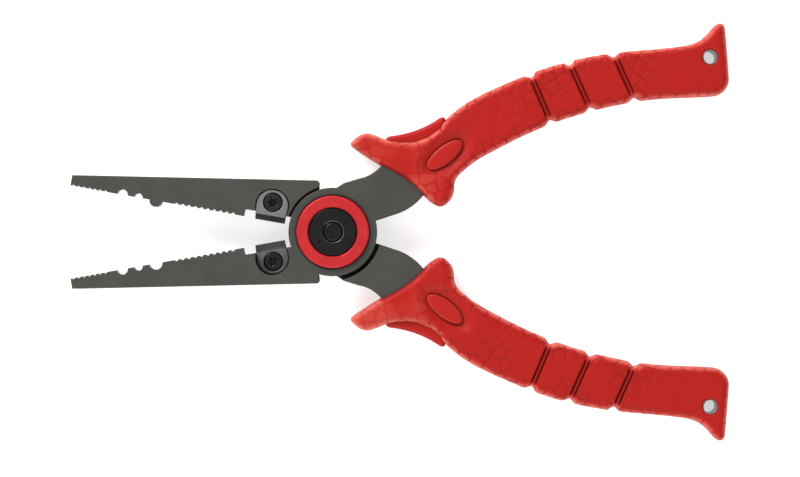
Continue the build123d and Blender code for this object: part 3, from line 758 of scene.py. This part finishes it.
def skin_tone(verts, to_edge, from_oval, on_guard, patch, strength, depth):
    """The rubber's tone at each point: painted shade deep in seams, grooves, the dish and where the steel
    comes out, painted highlight pale on the shoulders.
    """
    flat, high = verts[:, :2], np.abs(verts[:, 2])
    # Painted shade in the seams between scales.
    tone = BODY_TONE - SEAM_TONE * strength * depth ** SEAM_POWER
    shoulder = smoothstep((RIM_BAND - to_edge) / RIM_BAND) * rise(high, *RIM_HEIGHTS)
    at_arm = smoothstep((ARM_EXIT_REACH - path_distance(flat, ARM_EXIT)) / ARM_EXIT_REACH)
    # Painted highlight on the shoulders, and painted shade where the steel comes out.
    tone += (RIM_TONE + RIM_PATCH_TONE * patch) * shoulder * (1 - RIM_SEAM * depth) * (1 - at_arm)
    tone -= ARM_EXIT_TONE * at_arm ** 2
    tone += (GUARD_TONE + GUARD_PATCH_TONE * patch) * on_guard
    # Painted shade in the dish round the oval and along the grooves' walls.
    tone -= DISH_TONE * (1 - smoothstep(from_oval / DISH_TONE_WIDTH))
    for groove in GROOVES:
        across = np.abs(groove_distance(flat, groove))
        from_line = np.abs(across - (GROOVE_HALF_W + GROOVE_RIB_HALF_W) / 2)
        line = smoothstep(1 - from_line / GROOVE_LINE_HALF_W)
        middle = smoothstep((GROOVE_HALF_W - across) / GROOVE_MIDDLE_BLUR)
        tone -= (GROOVE_TONE * line + GROOVE_MIDDLE_TONE * middle) * rise(to_edge, *GROOVE_TONE_EDGE)
    return np.clip(tone, 0, 1)


def set_tone(piece, tone):
    """The tone that the rubber's colour ramp reads."""
    attribute = piece.data.attributes.new("height", "FLOAT", "POINT")
    attribute.data.foreach_set("value", tone.astype(np.float32))


def make_skin(label, body, matrix, seed):
    """A grip skin: the smooth one, with a seeded relief of scales pressed into it."""
    plan, triangles, loops, height = SKIN_BASE
    verts, faces = two_sided(plan, triangles, loops, height, -height, SKIN_WALL_ROWS)
    flat = verts[:, :2]
    generator = np.random.default_rng(seed)
    seeds = scatter_seeds(verts, SEED_LIMIT, SCALE_SMALL, SCALE_LARGE, generator)
    depth, slope = scale_relief(verts, seeds)
    patch = patches(flat, generator)
    to_edge, _ = distance_to(loops[0], flat)
    to_hole, _ = distance_to(loops[1], flat)
    from_oval = oval_distance(flat, OVAL_MARGIN)
    on_guard = 1 - rise(flat[:, 0], *GUARD)
    strength = scale_strength(flat, to_edge, to_hole, from_oval, on_guard, patch)
    piece = new_piece(label, verts, faces, Matrix.Identity(4), RUBBER)
    normals = np.array([v.normal for v in piece.data.vertices])
    tilt = np.clip(slope + TILT_REACH, 0, 2 * TILT_REACH)
    shift = -strength * (SCALE_DEPTH * depth + SCALE_TILT * tilt)
    moved = verts + normals * shift[:, None]
    piece.data.vertices.foreach_set("co", moved.ravel())
    set_tone(piece, skin_tone(verts, to_edge, from_oval, on_guard, patch, strength, depth))
    piece.data.transform(matrix)
    piece.data.update()
    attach(piece, body)
    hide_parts(label)
    piece.name = label + "_scaled"


def make_oval(label, body, matrix, side):
    """The smooth domed oval set into the guard, with its rim a little paler as a painted highlight."""
    levels = [(0.0, CORE_HALF_T)] + [(grow, OVAL_TOP - below) for grow, below in OVAL_EDGE]
    rings = [np.column_stack([oval_ring(grow, OVAL_SIDES), np.full(OVAL_SIDES, height)])
             for grow, height in levels]
    from_middle = rings[-1][:, :2] - np.array(OVAL_AT)
    for share in OVAL_DOME_RINGS:
        height = OVAL_TOP - OVAL_DOME * share ** 2
        ring = np.array(OVAL_AT) + from_middle * share
        rings.append(np.column_stack([ring, np.full(OVAL_SIDES, height)]))
    verts = np.vstack([*rings, [[*OVAL_AT, OVAL_TOP]]])
    verts[:, 2] *= side
    faces = []
    for r in range(len(rings) - 1):
        here, above = r * OVAL_SIDES, (r + 1) * OVAL_SIDES
        for i in range(OVAL_SIDES):
            j = (i + 1) % OVAL_SIDES
            faces.append((here + i, here + j, above + j, above + i))
    last, top = (len(rings) - 1) * OVAL_SIDES, len(verts) - 1
    faces += [(last + i, last + (i + 1) % OVAL_SIDES, top) for i in range(OVAL_SIDES)]
    faces.append(tuple(reversed(range(OVAL_SIDES))))
    piece = new_piece(label + "_domed", verts, faces, matrix, OVAL_RED)
    tone = np.zeros(len(verts))
    tone[OVAL_SIDES:(len(levels) - 1) * OVAL_SIDES] = OVAL_RIM_TONE
    set_tone(piece, tone)
    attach(piece, body)
    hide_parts(label)


def make_core(label, body, matrix):
    """The smooth grip core, whose ledge shows beside the guard."""
    plan, triangles = CORE_PLAN
    distance, _ = distance_to(CORE_OUTLINE, plan)
    height = LEDGE_HALF_T - rim_drop(distance, LEDGE_ROUND, LEDGE_ROUND, CIRCLE_POWER)
    verts, faces = two_sided(plan, triangles, [CORE_OUTLINE, CORE_HOLE], height, -height, CORE_WALL_ROWS)
    piece = new_piece(label + "_rounded", verts, faces, matrix, CORE_RED)
    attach(piece, body)
    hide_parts(label)


def spring_path(half_h):
    """Middle line of the spring's wire: a leg, the coil down through both discs, and a leg."""
    turn = LEG_ANGLE - np.linspace(0, 2 * math.pi * COIL_TURNS, COIL_POINTS)
    heights = np.linspace(-half_h, half_h, COIL_POINTS)
    coil = np.column_stack([COIL_R * np.cos(turn), COIL_R * np.sin(turn), heights])
    legs = []
    for end, side in ((coil[0], -1), (coil[-1], 1)):
        heights = side * np.linspace(LEG_END, half_h + LEG_GAP, LEG_POINTS)
        legs.append(np.column_stack([np.full(LEG_POINTS, end[0]), np.full(LEG_POINTS, end[1]), heights]))
    return np.vstack([legs[0], coil[BEND_POINTS:-BEND_POINTS], legs[1][::-1]])


def wire_mesh(path):
    """A closed round wire along a path that circles the z axis."""
    run = np.gradient(path, axis=0)
    run /= np.linalg.norm(run, axis=1)[:, None]
    outward = path * (1, 1, 0) / np.linalg.norm(path[:, :2], axis=1)[:, None]
    outward -= run * (outward * run).sum(1)[:, None]
    outward /= np.linalg.norm(outward, axis=1)[:, None]
    across = np.cross(run, outward)
    verts, faces = [], []
    for place, side_a, side_b in zip(path, outward, across):
        for k in range(WIRE_SIDES):
            angle = 2 * math.pi * k / WIRE_SIDES
            verts.append(place + WIRE_R * (math.cos(angle) * side_a + math.sin(angle) * side_b))
    for r in range(len(path) - 1):
        here, onward = r * WIRE_SIDES, (r + 1) * WIRE_SIDES
        for k in range(WIRE_SIDES):
            j = (k + 1) % WIRE_SIDES
            faces.append((here + k, here + j, onward + j, onward + k))
    last = (len(path) - 1) * WIRE_SIDES
    faces += [tuple(range(WIRE_SIDES)), tuple(last + k for k in reversed(range(WIRE_SIDES)))]
    return verts, faces


def make_spring():
    """The return spring, a coil about the pivot with a leg at each end, as one fixed piece."""
    half_h = COIL_PITCH * COIL_TURNS / 2
    verts, faces = wire_mesh(spring_path(half_h))
    matrix = Matrix.Translation((0, 0, MID_Z * MM)) @ Matrix.Scale(MM, 4)
    piece = new_piece("return_spring_wound", verts, faces, matrix, SPRING)
    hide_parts("return_spring")
    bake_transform(piece)


# ---------------------------------------------------------------- materials
# The lever steel's dark edge colour is painted shade along its edges; its light one is rubbed wear.
STEEL = coated_steel("lever_steel_satin", (0.058, 0.057, 0.049), (0.074, 0.072, 0.063),
                     ((0.016, 0.0155, 0.014), (0.1, 0.097, 0.087)))
# The front blade's near-black bevel colour is painted shade, for a bevel that faces away from the light.
FRONT_BLADE = coated_steel("front_blade_ground", (0.17, 0.173, 0.165), (0.225, 0.225, 0.217),
                           ((0.24, 0.24, 0.23), (0.34, 0.34, 0.32)), 0.42,
                           bevel=((0.003, 0.003, 0.003), (0.0066, 0.0066, 0.0066)))
DEEP_BLADE = coated_steel("deep_blade_ground", (0.13, 0.13, 0.128), (0.17, 0.17, 0.167),
                          ((0.13, 0.13, 0.13), (0.24, 0.24, 0.24)), 0.42,
                          land=((0.045, 0.045, 0.045), (0.0585, 0.0585, 0.0585)), darkest=0.7)
SCREW = coated_steel("screw_black", (0.011, 0.011, 0.0105), (0.026, 0.026, 0.025),
                     ((0.03, 0.03, 0.03), (0.14, 0.14, 0.14)), 0.3, 0.5)
RING_RED = turned_metal("ring_anodised_red", (0.53, 0.014, 0.019), (0.64, 0.024, 0.028), 0.38, 0.4)
# The black oxide's pale ring at 3.45 mm is a painted highlight on the nut's chamfer.
BLACK = turned_metal("pivot_black_oxide", (0.005, 0.0045, 0.006), (0.012, 0.01, 0.013), 0.33, 0.5,
                     highlight_rings=((3.45, 0.14),))
EYELET = turned_metal("eyelet_plated", (0.2, 0.17, 0.165), (0.32, 0.28, 0.27), 0.34, 1.0)
BRONZE = turned_metal("washer_bronze_plain", (0.3, 0.17, 0.06), (0.4, 0.24, 0.1), 0.4, 1.0)
BUSHING = turned_metal("bushing_ground", (0.3, 0.3, 0.3), (0.45, 0.45, 0.45), 0.28, 1.0)
SPRING = turned_metal("spring_wire", (0.2, 0.2, 0.21), (0.34, 0.34, 0.35), 0.3, 1.0)
# The skin's deep colour is painted shade in seams and grooves, and its pale one a painted highlight on the
# shoulders.
RUBBER = moulded_rubber("grip_skin_rubber", (0.26, 0.002, 0.001), (0.45, 0.007, 0.0035),
                        (0.7, 0.125, 0.085), 0.54)
OVAL_RED = moulded_rubber("oval_smooth_red", (0.46, 0.01, 0.0055), (0.46, 0.01, 0.0055),
                          (0.6, 0.05, 0.04), 0.46)
CORE_RED = moulded_rubber("grip_core_moulded", (0.43, 0.007, 0.004), (0.43, 0.007, 0.004),
                          (0.6, 0.05, 0.04), 0.44)

FINISHES = {
    "lever_steel": STEEL, "front_blade_steel": FRONT_BLADE, "deep_blade_steel": DEEP_BLADE,
    "screw_steel": SCREW, "red_anodised": RING_RED, "black_oxide": BLACK, "eyelet_steel": EYELET,
    "washer_bronze": BRONZE, "bushing_steel": BUSHING, "spring_steel": SPRING,
    "grip_core_red": CORE_RED, "grip_skin_red": RUBBER, "oval_red": OVAL_RED,
}
NODE_FINISH = {
    "lever": "lever_steel", "pivot_ring": "red_anodised", "cutter_screw": "screw_steel",
    "lanyard_eyelet": "eyelet_steel", "grip_core": "grip_core_red", "grip_skin": "grip_skin_red",
    "oval_front": "oval_red", "oval_back": "oval_red", "pivot_bolt": "black_oxide",
    "pivot_nut": "black_oxide", "pivot_bushing": "bushing_steel", "pivot_washer": "washer_bronze",
    "return_spring": "spring_steel", "top_cutter": "deep_blade_steel", "bottom_cutter": "front_blade_steel",
}
for name, node in nodes.items():
    ending = max((key for key in NODE_FINISH if name.endswith(key)), key=len)
    for material_slot in node.material_slots:
        material_slot.material = FINISHES[NODE_FINISH[ending]]

# ---------------------------------------------------------------- the grips
SKIN_BASE = grip_base()
CORE_LOOPS = section_loops(nodes["top_grip_core"], CORE_CUT_Z)
CORE_OUTLINE = soften(resample(CORE_LOOPS[0], CORE_OUTLINE_STEP), CORE_PASSES)
CORE_HOLE = resample(roundest(CORE_LOOPS[1:]), CORE_OUTLINE_STEP)
CORE_PLAN = plan_mesh(CORE_OUTLINE, [CORE_HOLE], np.empty((0, 2)), CORE_STEP, CORE_RIM_CLEAR)
for half, turned_over, seed in (("top", False, 11), ("bottom", True, 23)):
    body = half + "_half"
    matrix = lever_matrix(turned_over)
    make_skin(half + "_grip_skin", body, matrix, seed)
    make_core(half + "_grip_core", body, matrix)
    front = -1 if turned_over else 1
    make_oval(half + "_oval_front", body, matrix, front)
    make_oval(half + "_oval_back", body, matrix, -front)

make_spring()

# ---------------------------------------------------------------- studio
def make_floor():
    """A pale table that glows faintly, just below the pliers."""
    material, shader = new_material("floor_paper", 0.85)
    tone = noise(material, object_place(material), 30, 2)
    colour = ramp(material, tone, (0.0, (0.87, 0.87, 0.87)), (1.0, (0.89, 0.89, 0.89)))
    link(material, colour, shader.inputs["Base Color"])
    shader.inputs["Emission Color"].default_value = (1, 1, 1, 1)
    shader.inputs["Emission Strength"].default_value = FLOOR_GLOW
    mesh = bpy.data.meshes.new("floor")
    corners = [(x * FLOOR_HALF, y * FLOOR_HALF, cad_low.z - FLOOR_DROP)
               for x, y in ((-1, -1), (1, -1), (1, 1), (-1, 1))]
    mesh.from_pydata(corners, [], [(0, 1, 2, 3)])
    mesh.materials.append(material)
    floor = bpy.data.objects.new("floor", mesh)
    bpy.context.scene.collection.objects.link(floor)


def make_light(name, place, size, power):
    """A square soft box aimed at the pivot."""
    lamp = bpy.data.lights.new(name, "AREA")
    lamp.size = size
    lamp.energy = power
    light = bpy.data.objects.new(name, lamp)
    light.location = place
    light.rotation_euler = (-Vector(place)).to_track_quat("-Z", "Y").to_euler()
    bpy.context.scene.collection.objects.link(light)


def make_world():
    """Even light from all round."""
    world = bpy.data.worlds.new("studio")
    world.use_nodes = True
    background = world.node_tree.nodes["Background"]
    background.inputs["Color"].default_value = (1, 1, 1, 1)
    background.inputs["Strength"].default_value = WORLD_LIGHT
    bpy.context.scene.world = world


def make_camera():
    """Straight above, with the jaws to the left."""
    data = bpy.data.cameras.new("camera")
    data.sensor_width = 36
    data.lens = LENS
    camera = bpy.data.objects.new("camera", data)
    camera.location = (*CAMERA_AT, MID_Z * MM + CAMERA_HEIGHT)
    bpy.context.scene.collection.objects.link(camera)
    bpy.context.scene.camera = camera


make_floor()
make_light("key", (-0.55, 0.75, 0.62), 0.45, 11)
make_light("fill", (-0.15, -0.75, 0.8), 0.8, 5)
make_world()
make_camera()
bpy.context.scene.view_settings.view_transform = "Standard"
